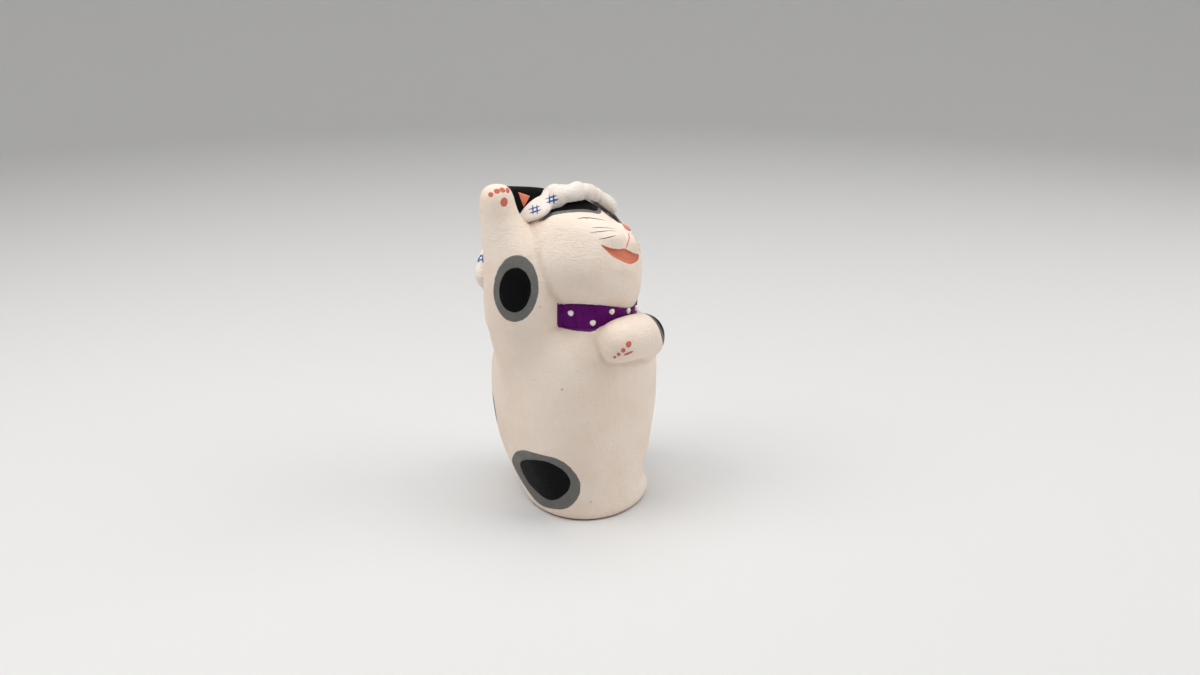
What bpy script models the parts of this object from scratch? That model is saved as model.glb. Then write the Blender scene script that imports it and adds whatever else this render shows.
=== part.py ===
"""Lucky cat figurine: two pairs of hollow press-moulded clay shells with luted limbs, towel and collar."""

import math

import bmesh
import bpy
from mathutils import Euler, Vector
from mathutils.bvhtree import BVHTree

# Driving sizes in metres. The cat stands on Z = 0 and faces -Y, so its right side is -X.
SLIP_GAP = 0.0003
BEAD_GAP = 0.0001
WALL = 0.0032
TRUNK_HEIGHT = 0.0508
TRUNK_HALF_WIDTH = 0.0205
TRUNK_FRONT = 0.0156
TRUNK_BACK = 0.0272
NECK_RADIUS = 0.0108
NECK_LENGTH = 0.0095
SEAM_Y = 0.003
FLOOR_THICKNESS = 0.0042
PLATE_RADIUS = 0.0112
PLATE_THICKNESS = 0.0024
LEDGE_WIDTH = 0.0022
VENT_RADIUS = 0.002
VENT_Y = 0.005
HEAD_HALF_WIDTH = 0.0158
HEAD_HALF_DEPTH = 0.0135
HEAD_HALF_HEIGHT = 0.0163
CROWN_HEIGHT = 0.0118
MUZZLE_BULGE = 0.0014
ARM_RADIUS = 0.0083
PAW_ARM_RADIUS = 0.0043
EAR_HALF_WIDTH = 0.0070
EAR_THICKNESS = 0.0024
COLLAR_THICKNESS = 0.0023
COLLAR_HEIGHT = 0.0105
COLLAR_SINK = 0.0006
DOT_RADIUS = 0.00062
DOT_HEIGHT = 0.00042
BAND_HALF_WIDTH = 0.0027
BAND_THICKNESS = 0.0008
ROLL_RADIUS = 0.0026
KNOT_RADIUS = 0.0036
TAIL_HALF_WIDTH = 0.0044

HEAD_PITCH = math.radians(24)
HEAD_ROLL = math.radians(21)
CROWN_LEAN = 0.26
JAW_LEAN = 0.2
FOREHEAD_SLOPE = 0.2
HEAD_CENTRE = Vector((-0.0008, 0.0010, TRUNK_HEIGHT + 1.04 * HEAD_HALF_HEIGHT))
HEAD_TURN = Euler((0, HEAD_ROLL, 0)).to_matrix() @ Euler((-HEAD_PITCH, 0, 0)).to_matrix()

# Trunk rings from the foot up: height, half width, front and back as shares of the trunk sizes.
TRUNK_RINGS = (
    (0.000, 0.70, 0.90, 0.54), (0.010, 0.73, 0.95, 0.57), (0.028, 0.757, 0.965, 0.605),
    (0.060, 0.775, 0.94, 0.66), (0.100, 0.80, 0.91, 0.715), (0.160, 0.842, 0.89, 0.795),
    (0.236, 0.895, 0.895, 0.875), (0.315, 0.94, 0.92, 0.94), (0.413, 0.975, 0.95, 0.985),
    (0.512, 1.0, 0.99, 1.005), (0.610, 1.005, 1.0, 1.01), (0.709, 1.0, 1.0, 1.0),
    (0.787, 0.985, 0.985, 0.955), (0.866, 0.95, 0.95, 0.885), (0.925, 0.89, 0.895, 0.79),
    (0.970, 0.79, 0.82, 0.67),
)


def collection(name):
    made = bpy.data.collections.new(name)
    bpy.context.scene.collection.children.link(made)
    return made


for old in list(bpy.data.objects):
    bpy.data.objects.remove(old, do_unlink=True)
PARTS = collection("parts")
CUTTERS = collection("cutters")


def spow(value, power):
    return math.copysign(abs(value) ** power, value)


def curve_at(stations, along):
    """Catmull-Rom value of a row of equally spaced stations, for along from 0 to 1."""
    spot = along * (len(stations) - 1)
    index = min(int(spot), len(stations) - 2)
    t = spot - index
    before, start, end, after = (
        stations[min(max(index + step, 0), len(stations) - 1)] for step in (-1, 0, 1, 2))
    return [
        0.5 * (2 * b + (c - a) * t + (2 * a - 5 * b + 4 * c - d) * t * t + (3 * b - a - 3 * c + d) * t ** 3)
        for a, b, c, d in zip(before, start, end, after)]


def paint(obj, colour, roughness):
    material = bpy.data.materials.new(obj.name)
    material.use_nodes = True
    shader = material.node_tree.nodes["Principled BSDF"]
    shader.inputs["Base Color"].default_value = (*colour, 1)
    shader.inputs["Roughness"].default_value = roughness
    obj.data.materials.append(material)


WHITE = (0.86, 0.78, 0.70)
BLACK = (0.012, 0.012, 0.014)
PURPLE = (0.13, 0.005, 0.16)
BARE_CLAY = (0.20, 0.10, 0.06)


def node(name, bm, home=PARTS, colour=WHITE, roughness=0.7):
    """One named object from a bmesh; those in the cutters collection stay hidden."""
    mesh = bpy.data.meshes.new(name)
    bm.to_mesh(mesh)
    bm.free()
    obj = bpy.data.objects.new(name, mesh)
    home.objects.link(obj)
    if home is CUTTERS:
        obj.hide_render = True
        obj.display_type = "WIRE"
    else:
        paint(obj, colour, roughness)
    return obj


def cut(obj, *cutters, operation="DIFFERENCE"):
    for cutter in cutters:
        modifier = obj.modifiers.new(cutter.name, "BOOLEAN")
        modifier.operation = operation
        modifier.solver = "EXACT"
        modifier.object = cutter


def ball(place, around, rings, grow=0.0):
    """A closed ball with every point put by place(turn, rise), rise 0 at its foot, then swelled by grow."""
    bm = bmesh.new()
    bmesh.ops.create_uvsphere(bm, u_segments=around, v_segments=rings, radius=1)
    for vert in bm.verts:
        turn = math.atan2(vert.co.y, vert.co.x)
        rise = 1 - math.acos(max(-1.0, min(1.0, vert.co.z))) / math.pi
        vert.co = place(turn, rise)
    if grow:
        bm.normal_update()
        for vert, normal in [(vert, vert.normal.copy()) for vert in bm.verts]:
            vert.co += normal * grow
    return bm


def block(low, high):
    """A box between two corners."""
    bm = bmesh.new()
    bmesh.ops.create_cube(bm, size=1)
    for vert in bm.verts:
        vert.co = [a + (b - a) * (c + 0.5) for a, b, c in zip(low, high, vert.co)]
    return bm


def rod(radius, low, high, x=0.0, y=0.0, sides=40):
    """An upright cylinder."""
    bm = bmesh.new()
    bmesh.ops.create_cone(bm, cap_ends=True, segments=sides, radius1=radius, radius2=radius, depth=1)
    for vert in bm.verts:
        vert.co = (vert.co.x + x, vert.co.y + y, low + (high - low) * (vert.co.z + 0.5))
    return bm


def egg(half_width, front, back, turn, power):
    """Plan point on an oval that is deeper behind than in front."""
    side, deep = spow(math.cos(turn), 2 / power), spow(math.sin(turn), 2 / power)
    return half_width * side, (front if deep < 0 else back) * deep


def trunk_rings(inset=0.0):
    rings = [
        (share * TRUNK_HEIGHT, wide * TRUNK_HALF_WIDTH - inset,
         front * TRUNK_FRONT - inset, back * TRUNK_BACK - inset)
        for share, wide, front, back in TRUNK_RINGS]
    for lift, wider in ((0.0, 1.28), (0.11, 1.10), (0.24, 1.01), (0.62, 1.0), (1.0, 0.96)):
        rings.append((TRUNK_HEIGHT + lift * NECK_LENGTH, *[wider * NECK_RADIUS - inset] * 3))
    return rings


def place_on_rings(rings, power=2.1):
    """Placing function through a stack of rings, closed flat at both ends."""
    stack = [(rings[0][0], 0, 0, 0), *rings, (rings[-1][0], 0, 0, 0)]

    def place(turn, rise):
        height, half_width, front, back = stack[round(rise * (len(stack) - 1))]
        return (*egg(half_width, front, back, turn, power), height)

    return place, len(stack) - 1


def trunk_form(grow=0.0):
    place, rings = place_on_rings(trunk_rings())
    return ball(place, 44, rings, grow)


def trunk_cavity():
    rings = [ring for ring in trunk_rings(WALL) if ring[0] > FLOOR_THICKNESS][::2]
    foot = (FLOOR_THICKNESS, *rings[0][1:])
    top = (TRUNK_HEIGHT + 2 * NECK_LENGTH, *[0.96 * NECK_RADIUS - WALL] * 3)
    place, count = place_on_rings([foot, *rings, top])
    return ball(place, 28, count)


def head_point(turn, rise, inset=0.0, bulge=MUZZLE_BULGE):
    """Head surface: a blunt ball, narrower at the crown, with the muzzle swelling forward."""
    tilt = (rise - 0.5) * math.pi
    power = 2 / (2.3 if tilt > 0 else 3.2)
    ring, lift = spow(math.cos(tilt), power), spow(math.sin(tilt), power)
    crown = 1 - 0.18 * max(0.0, lift) ** 1.5
    x = (HEAD_HALF_WIDTH - inset) * ring * crown * spow(math.cos(turn), 2 / 2.25)
    y = (HEAD_HALF_DEPTH - inset) * ring * crown * spow(math.sin(turn), 2 / 2.25)
    z = ((CROWN_HEIGHT if lift > 0 else HEAD_HALF_HEIGHT) - inset) * lift
    z -= CROWN_LEAN * x * max(0.0, lift) + JAW_LEAN * x * max(0.0, -lift)
    if y < 0:
        slope = min(1.0, max(0.0, lift) / 0.55)
        y *= 1 - FOREHEAD_SLOPE * slope * slope * (3 - 2 * slope)
        y -= bulge * math.exp(-(x / 0.0065) ** 2 - ((z + 0.0035) / 0.005) ** 2)
    return HEAD_CENTRE + HEAD_TURN @ Vector((x, y, z))


def head_form(grow=0.0):
    return ball(head_point, 40, 22, grow)


def limb(stations, up, caps, around=24, rings=18, grow=0.0, lumps=0, lump=0.0):
    """A rounded limb through stations of (x, y, z, half width, half height), its height along up."""
    def middle(along):
        return Vector(curve_at(stations, along)[:3])

    def place(turn, rise):
        along = rise - math.sin(math.tau * rise) / math.tau * 0.6
        tangent = (middle(min(1, along + 0.01)) - middle(max(0, along - 0.01))).normalized()
        across = tangent.cross(up).normalized()
        over = tangent.cross(across)
        wide, high = curve_at(stations, along)[3:]
        near_end = min(1.0, along / caps[0], (1 - along) / caps[1])
        size = math.sqrt(max(0.0, 1 - (1 - near_end) ** 2))
        size *= 1 + lump * (abs(math.sin(lumps * math.pi * along)) - 0.6) if lumps else 1
        return middle(along) + size * (across * wide * math.cos(turn) + over * high * math.sin(turn))

    return ball(place, around, rings, grow)


def on_trunk(side, deep, height, radius_share, flat=1.0, radius=ARM_RADIUS):
    """Limb station placed by shares of the trunk sizes."""
    depth = TRUNK_FRONT if deep < 0 else TRUNK_BACK
    return (side * TRUNK_HALF_WIDTH, deep * depth, height * TRUNK_HEIGHT,
            radius_share * radius, radius_share * radius * flat)


def raised_arm_form(grow=0.0):
    top = (HEAD_CENTRE.z + 1.11 * HEAD_HALF_HEIGHT) / TRUNK_HEIGHT
    stations = [
        on_trunk(-0.42, 0.26, 0.50, 0.80), on_trunk(-0.57, 0.22, 0.78, 1.15),
        on_trunk(-0.70, 0.215, 1.04, 1.23), on_trunk(-0.82, 0.19, 1.27, 1.08),
        on_trunk(-0.98, 0.30, 0.24 + 0.76 * top, 1.06, radius=PAW_ARM_RADIUS),
        on_trunk(-1.0, 0.32, top, 0.95, radius=PAW_ARM_RADIUS)]
    return limb(stations, Vector((0, 1, 0)), (0.2, 0.13), grow=grow)


def folded_arm_form(grow=0.0):
    stations = [
        on_trunk(0.58, 0.16, 0.82, 0.70), on_trunk(0.66, -0.20, 0.84, 0.72),
        on_trunk(0.47, -0.63, 0.87, 0.70), on_trunk(0.25, -0.95, 0.935, 0.66),
        on_trunk(-0.10, -1.02, 0.96, 0.64), on_trunk(-0.44, -0.94, 0.945, 0.58)]
    return limb(stations, Vector((0, 0, 1)), (0.2, 0.14), grow=grow)


def on_head(angle, lift, out=0.0):
    """Point on the head's upper half at an angle about its own axis, moved outward."""
    rise = 0.5 + math.asin(min(1.0, lift) ** 1.3) / math.pi
    return head_point(angle, rise, -out, 0.0)


def ear_form(side, grow=0.0):
    """Blunt, thick ear; side is -1 for the cat's right."""
    foot = Vector((side * 0.82 * HEAD_HALF_WIDTH, 0.42 * HEAD_HALF_DEPTH, 0.65 * CROWN_HEIGHT))
    foot.z -= 0.5 * CROWN_LEAN * foot.x
    rise_way = Vector((side * 0.62, 0.22, 0.75)).normalized()
    wide_way = Vector((side * 0.55, 0.80, -0.45))
    wide_way = (wide_way - rise_way * wide_way.dot(rise_way)).normalized()
    thick_way = rise_way.cross(wide_way)

    def place(turn, rise):
        tilt = (rise - 0.5) * math.pi
        taper = 1 - 0.3 * rise
        wide = EAR_HALF_WIDTH * 1.15 * math.cos(tilt) ** 1.7 * taper * math.cos(turn)
        thick = EAR_THICKNESS * spow(math.cos(tilt), 0.8) * math.sin(turn)
        high = EAR_HALF_WIDTH * (0.96 if tilt > 0 else 0.18) * spow(math.sin(tilt), 0.9)
        spot = foot + wide_way * wide + thick_way * thick + rise_way * high
        return HEAD_CENTRE + HEAD_TURN @ spot

    return ball(place, 20, 12, grow)


ROLL_RIGHT = math.radians(-160)
ROLL_LEFT = math.radians(-58)
KNOT_ANGLE = math.radians(98)


def towel_lift(angle):
    """Height of the towel on the crown: high over the brow, low beside the ears."""
    return 0.52 + (0.37 if math.sin(angle) < 0 else 0.14) * math.sin(angle) ** 2


def towel_station(angle, wide, high, out):
    return (*on_head(angle, towel_lift(angle), out), wide, high)


def band_form(side, grow=0.0):
    """Flat towel band lying on the head from the forehead roll round to the knot."""
    first = ROLL_LEFT - math.radians(3) if side > 0 else ROLL_RIGHT + math.radians(3)
    last = KNOT_ANGLE if side > 0 else KNOT_ANGLE - math.tau

    def place(turn, rise):
        along = rise - math.sin(math.tau * rise) / math.tau * 0.6
        angle = first + (last - first) * along
        near_end = min(1.0, along / (0.32 if side > 0 else 0.13), (1 - along) / 0.08)
        size = math.sqrt(max(0.0, 1 - (1 - near_end) ** 2))
        lift = towel_lift(angle) - side * size * math.sin(turn) * BAND_HALF_WIDTH / CROWN_HEIGHT
        return on_head(angle, lift, SLIP_GAP + BAND_THICKNESS * (1 + size * math.cos(turn)))

    return ball(place, 16, 24, grow)


def roll_form(grow=0.0):
    """Gathered towel roll over the forehead, pinched into lumps."""
    steps = [ROLL_RIGHT + (ROLL_LEFT - ROLL_RIGHT) * step / 6 for step in range(7)]
    stations = [towel_station(angle, ROLL_RADIUS, 1.12 * ROLL_RADIUS, 0.5 * ROLL_RADIUS) for angle in steps]
    return limb(stations, HEAD_TURN @ Vector((0, 0, 1)), (0.12, 0.12), 20, 30, grow, 4, 0.11)


def knot_form(grow=0.0):
    centre = on_head(KNOT_ANGLE, towel_lift(KNOT_ANGLE), 0.0016)

    def place(turn, rise):
        tilt = (rise - 0.5) * math.pi
        way = Vector((math.cos(tilt) * math.cos(turn), math.cos(tilt) * math.sin(turn), math.sin(tilt)))
        pleat = 1 + 0.07 * math.sin(3 * turn)
        return centre + Vector((1.15 * way.x, 0.85 * way.y, way.z)) * KNOT_RADIUS * pleat

    return ball(place, 18, 10, grow)


def towel_tail_form(side, grow=0.0):
    """Loose towel end hanging from the knot over the shoulder."""
    start = on_head(KNOT_ANGLE, towel_lift(KNOT_ANGLE), 0.0016) + Vector((0, 0.66, -0.66)) * KNOT_RADIUS
    end = Vector((-0.98 * TRUNK_HALF_WIDTH, 0.52 * TRUNK_BACK, 1.16 * TRUNK_HEIGHT))
    if side > 0:
        end = Vector((0.34 * TRUNK_HALF_WIDTH, 0.53 * TRUNK_BACK, 1.07 * TRUNK_HEIGHT))
    drape = Vector((-0.0024 if side < 0 else 0.0010, 0.0022, 0.0016))
    stations = []
    for along in (0.0, 0.3, 0.6, 0.82, 1.0):
        spot = start.lerp(end, along) + drape * math.sin(math.pi * along)
        stations.append((*spot, 0.0016, TAIL_HALF_WIDTH * (0.6 + 0.5 * along)))
    return limb(stations, Vector((0, 0.35, 1)), (0.1, 0.2), 16, 14, grow)


UNDER_HEAD = BVHTree.FromBMesh(head_form())


def collar_form(grow=0.0):
    """Collar blank: a disc about the neck, later cut by trunk, head and arm."""
    low = TRUNK_HEIGHT - COLLAR_SINK
    out = NECK_RADIUS + COLLAR_THICKNESS
    rings = [(low + share * COLLAR_HEIGHT, out * wider, out * wider, out * wider)
             for share, wider in ((0, 0.985), (0.12, 1), (0.5, 1.005), (0.88, 1), (1, 0.985))]
    place, count = place_on_rings(rings, 2)
    return ball(place, 48, count, grow)


# Collar dots: angle about the neck in degrees, height as a share of the collar under the head.
DOTS = (
    (-150, 0.61), (-127, 0.33), (-106, 0.65), (-82, 0.63), (-62, 0.53), (-40, 0.51), (-18, 0.27),
    (4, 0.47), (26, 0.27), (86, 0.50), (104, 0.42),
)


def dot_form(angle, share):
    """Small flat-backed dome of raised white on the collar."""
    out = Vector((math.cos(angle), math.sin(angle), 0))
    over = Vector((0, 0, 1)).cross(out)
    centre = out * (1.005 * (NECK_RADIUS + COLLAR_THICKNESS) + BEAD_GAP)
    centre.z = TRUNK_HEIGHT - COLLAR_SINK
    chin = UNDER_HEAD.ray_cast(centre + out * DOT_HEIGHT, Vector((0, 0, 1)))[0]
    shown = min(COLLAR_HEIGHT, chin.z - centre.z) if chin else COLLAR_HEIGHT
    centre.z += share * shown

    def place(turn, rise):
        tilt = (rise - 0.5) * math.pi
        flat = DOT_RADIUS * math.cos(tilt)
        spot = centre + over * flat * math.cos(turn) + Vector((0, 0, 1)) * flat * math.sin(turn)
        return spot + out * DOT_HEIGHT * max(0.0, math.sin(tilt))

    return ball(place, 12, 6)


# Cutters: every seat is a slightly swelled copy of the piece that it receives.
trunk_seat = node("trunk_seat", trunk_form(SLIP_GAP), CUTTERS)
trunk_hollow = node("trunk_hollow", trunk_cavity(), CUTTERS)
pocket_form = rod(PLATE_RADIUS + SLIP_GAP, -0.001, PLATE_THICKNESS + BEAD_GAP)
plate_pocket = node("plate_pocket", pocket_form, CUTTERS)
opening_form = rod(PLATE_RADIUS - LEDGE_WIDTH, -0.002, FLOOR_THICKNESS + 0.001)
plate_opening = node("plate_opening", opening_form, CUTTERS)
front_side = node("front_side", block((-0.05, -0.05, -0.01), (0.05, SEAM_Y - SLIP_GAP / 2, 0.1)), CUTTERS)
back_side = node("back_side", block((-0.05, SEAM_Y + SLIP_GAP / 2, -0.01), (0.05, 0.05, 0.1)), CUTTERS)
head_seat = node("head_seat", head_form(SLIP_GAP), CUTTERS)
hollow_form = ball(lambda turn, rise: head_point(turn, rise, WALL, 0.0), 24, 14)
head_hollow = node("head_hollow", hollow_form, CUTTERS)
arm_seat = node("arm_seat", raised_arm_form(SLIP_GAP), CUTTERS)
collar_seat = node("collar_seat", collar_form(SLIP_GAP), CUTTERS)
roll_seat = node("roll_seat", roll_form(SLIP_GAP), CUTTERS)
knot_seat = node("knot_seat", knot_form(SLIP_GAP), CUTTERS)
right_band_seat = node("right_band_seat", band_form(-1, SLIP_GAP), CUTTERS)
left_band_seat = node("left_band_seat", band_form(1, SLIP_GAP), CUTTERS)
right_tail_seat = node("right_tail_seat", towel_tail_form(-1, SLIP_GAP), CUTTERS)
face_side = node("face_side", block((-0.05, -0.05, -0.05), (0.05, -SLIP_GAP / 2, 0.05)), CUTTERS)
nape_side = node("nape_side", block((-0.05, SLIP_GAP / 2, -0.05), (0.05, 0.05, 0.05)), CUTTERS)
for half in (face_side, nape_side):
    half.data.transform(HEAD_TURN.to_4x4())
    half.location = HEAD_CENTRE

# Shells.
for name, side in (("trunk_front", front_side), ("trunk_back", back_side)):
    shell = node(name, trunk_form())
    cut(shell, trunk_hollow, plate_pocket, plate_opening)
    cut(shell, side, operation="INTERSECT")
for name, side in (("head_face", face_side), ("head_back", nape_side)):
    shell = node(name, head_form())
    cut(shell, head_hollow, trunk_seat)
    cut(shell, side, operation="INTERSECT")

# Closing slab with its vent.
base_plate = node("base_plate", rod(PLATE_RADIUS, 0, PLATE_THICKNESS), colour=BARE_CLAY, roughness=0.9)
vent_form = rod(VENT_RADIUS, -0.001, PLATE_THICKNESS + 0.001, y=VENT_Y, sides=24)
cut(base_plate, node("vent", vent_form, CUTTERS))

# Limbs and ears.
cut(node("raised_arm", raised_arm_form()), trunk_seat, head_seat, right_band_seat)
cut(node("folded_arm", folded_arm_form()), trunk_seat, head_seat, collar_seat)
cut(node("right_ear", ear_form(-1), colour=BLACK), head_seat, right_band_seat, arm_seat)
cut(node("left_ear", ear_form(1), colour=BLACK), head_seat, left_band_seat)

# Towel.
cut(node("towel_roll", roll_form()), head_seat)
cut(node("towel_knot", knot_form()), head_seat)
cut(node("towel_band_right", band_form(-1)), roll_seat, knot_seat)
cut(node("towel_band_left", band_form(1)), roll_seat, knot_seat)
cut(node("towel_tail_right", towel_tail_form(-1)), head_seat, knot_seat, arm_seat)
cut(node("towel_tail_left", towel_tail_form(1)), head_seat, knot_seat, right_tail_seat)

# Collar.
collar = node("collar", collar_form(), colour=PURPLE, roughness=0.35)
cut(collar, arm_seat, trunk_seat, head_seat)
for number, (angle, share) in enumerate(DOTS, 1):
    node(f"collar_dot_{number:02d}", dot_form(math.radians(angle), share), colour=WHITE, roughness=0.5)
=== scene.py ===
"""Looks of the lucky cat figurine: hand-painted fired clay on a pale studio floor."""
import math

import bmesh
import bpy
import numpy as np
from mathutils import Euler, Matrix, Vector
from mathutils.bvhtree import BVHTree


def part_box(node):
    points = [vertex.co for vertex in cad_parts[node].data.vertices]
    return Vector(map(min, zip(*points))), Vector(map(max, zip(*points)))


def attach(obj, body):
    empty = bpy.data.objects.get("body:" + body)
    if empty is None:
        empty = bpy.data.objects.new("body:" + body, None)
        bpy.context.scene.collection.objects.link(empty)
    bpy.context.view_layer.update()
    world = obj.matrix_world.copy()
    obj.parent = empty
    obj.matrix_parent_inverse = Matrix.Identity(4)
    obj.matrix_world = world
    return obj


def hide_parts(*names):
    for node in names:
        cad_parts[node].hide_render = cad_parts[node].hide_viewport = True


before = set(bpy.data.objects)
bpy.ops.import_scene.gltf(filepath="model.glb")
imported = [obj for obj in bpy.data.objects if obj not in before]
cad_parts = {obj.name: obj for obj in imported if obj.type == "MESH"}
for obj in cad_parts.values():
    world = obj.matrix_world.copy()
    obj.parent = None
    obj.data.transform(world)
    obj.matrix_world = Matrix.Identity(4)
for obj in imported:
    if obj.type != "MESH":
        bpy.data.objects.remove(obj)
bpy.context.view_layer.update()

MM = 0.001

# The photograph's view: turn and rise of the camera, its lens in pixels, where the base stands,
# and a pixel well inside the body and the face.
PHOTO_WIDE, PHOTO_HIGH = 1200, 675
VIEW_TURN = math.radians(-46)
VIEW_RISE = math.radians(20)
VIEW_LENS = 1000
FOOT_PIXEL = (586, 492)
FOOT_DISTANCE = 0.271
BODY_PIXEL = (566, 330)
FACE_PIXEL = (600, 245)

# The head's own axes: x to the cat's left, y to the back, z to the crown.
HEAD_CENTRE = Vector((-0.0008, 0.0010, 0.067752))
HEAD_TURN = Euler((0, math.radians(21), 0)).to_matrix() @ Euler((math.radians(-24), 0, 0)).to_matrix()

view_right = Vector((math.cos(VIEW_TURN), math.sin(VIEW_TURN), 0))
view_back = Vector((math.sin(VIEW_TURN) * math.cos(VIEW_RISE),
                    -math.cos(VIEW_TURN) * math.cos(VIEW_RISE), math.sin(VIEW_RISE)))
view_up = view_back.cross(view_right)
EYE = -(view_right * ((FOOT_PIXEL[0] - PHOTO_WIDE / 2) / VIEW_LENS * FOOT_DISTANCE)
        + view_up * ((PHOTO_HIGH / 2 - FOOT_PIXEL[1]) / VIEW_LENS * FOOT_DISTANCE)
        - view_back * FOOT_DISTANCE)


# Colours and shader helpers.

def colour(red, green, blue):
    """Screen colour, 0 to 255, as the linear colour that a shader takes."""
    def linear(value):
        value /= 255
        return value / 12.92 if value <= 0.04045 else ((value + 0.055) / 1.055) ** 2.4
    return (linear(red), linear(green), linear(blue), 1.0)


CHALK_WHITE = colour(244, 226, 210)
CHALK_WARM = colour(233, 214, 197)
CHALK_PALE = colour(249, 239, 228)
# Darker tone for creases and pinholes: painted shade in the creases, together with some dirt.
CREASE_SHADE_AND_DIRT = colour(205, 180, 160)
TOWEL_WHITE = colour(236, 226, 217)
TOWEL_PALE = colour(242, 234, 227)
TOWEL_WARM = colour(230, 218, 208)
BRUSH_BLACK = colour(6, 7, 10)
BLACK_WORN = colour(17, 19, 23)
BORDER_GREY = colour(110, 109, 106)
BORDER_PALE = colour(134, 134, 131)
LIP_ORANGE = colour(226, 134, 106)
LIP_DARK = colour(196, 98, 76)
PAD_RED = colour(201, 112, 96)
HASH_BLUE = colour(36, 84, 150)
COLLAR_PURPLE = colour(98, 6, 106)
COLLAR_DEEP = colour(66, 2, 82)
BARE_CLAY = colour(126, 88, 64)
BARE_DARK = colour(84, 58, 44)
STROKE_BROWN = colour(74, 62, 54)
DOT_WHITE = colour(250, 247, 242)
HASH_WORN = colour(60, 108, 170)
PAPER_GREY = colour(220, 220, 220)

# Clay skins: size of their voxels, swelling that closes the slip gaps, and how often they are rubbed.
BODY_SKIN = (0.46 * MM, 0.25 * MM, 34)
TOWEL_SKIN = (0.26 * MM, 0.2 * MM, 14)
EAR_SKIN = (0.22 * MM, 0.22 * MM, 14)
COLLAR_SKIN = (0.2 * MM, 0.12 * MM, 8)

# Brushed paint stands a little proud of the clay and reaches into it.
PAINT_PROUD = 0.02 * MM
PAINT_THICK = 0.12 * MM

# Distance in millimetres that a paint field holds well outside its outline.
FAR_OFF = 9.0


class Paint:
    """A Principled material with short ways to add its procedural nodes."""

    def __init__(self, name, roughness):
        self.material = bpy.data.materials.new(name)
        self.material.use_nodes = True
        self.tree = self.material.node_tree
        self.shader = self.tree.nodes["Principled BSDF"]
        self.shader.inputs["Roughness"].default_value = roughness
        self.shader.inputs["Specular IOR Level"].default_value = 0.35
        self.place = self.tree.nodes.new("ShaderNodeTexCoord").outputs["Object"]

    def add(self, kind, **values):
        made = self.tree.nodes.new(kind)
        for key, value in values.items():
            setattr(made, key, value)
        return made

    def feed(self, socket, value):
        if isinstance(value, bpy.types.NodeSocket):
            self.tree.links.new(value, socket)
        else:
            socket.default_value = value

    def stretched(self, stretch, turn=(0, 0, 0)):
        mapping = self.add("ShaderNodeMapping")
        self.feed(mapping.inputs["Vector"], self.place)
        mapping.inputs["Scale"].default_value = stretch
        mapping.inputs["Rotation"].default_value = turn
        return mapping.outputs["Vector"]

    def noise(self, per_metre, detail=4.0, stretch=(1, 1, 1), turn=(0, 0, 0)):
        made = self.add("ShaderNodeTexNoise")
        self.feed(made.inputs["Vector"], self.stretched(stretch, turn))
        made.inputs["Scale"].default_value = per_metre
        made.inputs["Detail"].default_value = detail
        made.inputs["Roughness"].default_value = 0.6
        return made.outputs["Fac"]

    def specks(self, per_metre):
        made = self.add("ShaderNodeTexVoronoi")
        self.feed(made.inputs["Vector"], self.place)
        made.inputs["Scale"].default_value = per_metre
        return made.outputs["Distance"]

    def field(self, name):
        return self.add("ShaderNodeAttribute", attribute_name=name).outputs["Fac"]

    def height(self):
        split = self.add("ShaderNodeSeparateXYZ")
        self.feed(split.inputs["Vector"], self.place)
        return split.outputs["Z"]

    def sums(self, operation, first, second):
        made = self.add("ShaderNodeMath", operation=operation)
        self.feed(made.inputs[0], first)
        self.feed(made.inputs[1], second)
        return made.outputs["Value"]

    def between(self, value, low, high, first=0.0, last=1.0):
        made = self.add("ShaderNodeMapRange", interpolation_type="SMOOTHSTEP")
        self.feed(made.inputs["Value"], value)
        for socket, number in (("From Min", low), ("From Max", high), ("To Min", first), ("To Max", last)):
            made.inputs[socket].default_value = number
        return made.outputs["Result"]

    def mix(self, share, first, second):
        made = self.add("ShaderNodeMix", data_type="RGBA")
        self.feed(made.inputs["Factor"], share)
        self.feed(made.inputs[6], first)
        self.feed(made.inputs[7], second)
        return made.outputs[2]

    def bump(self, height, strength, distance):
        made = self.add("ShaderNodeBump")
        made.inputs["Strength"].default_value = strength
        made.inputs["Distance"].default_value = distance
        self.feed(made.inputs["Height"], height)
        self.feed(self.shader.inputs["Normal"], made.outputs["Normal"])

    def finish(self, base, roughness=None):
        self.feed(self.shader.inputs["Base Color"], base)
        if roughness is not None:
            self.feed(self.shader.inputs["Roughness"], roughness)
        return self.material


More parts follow.
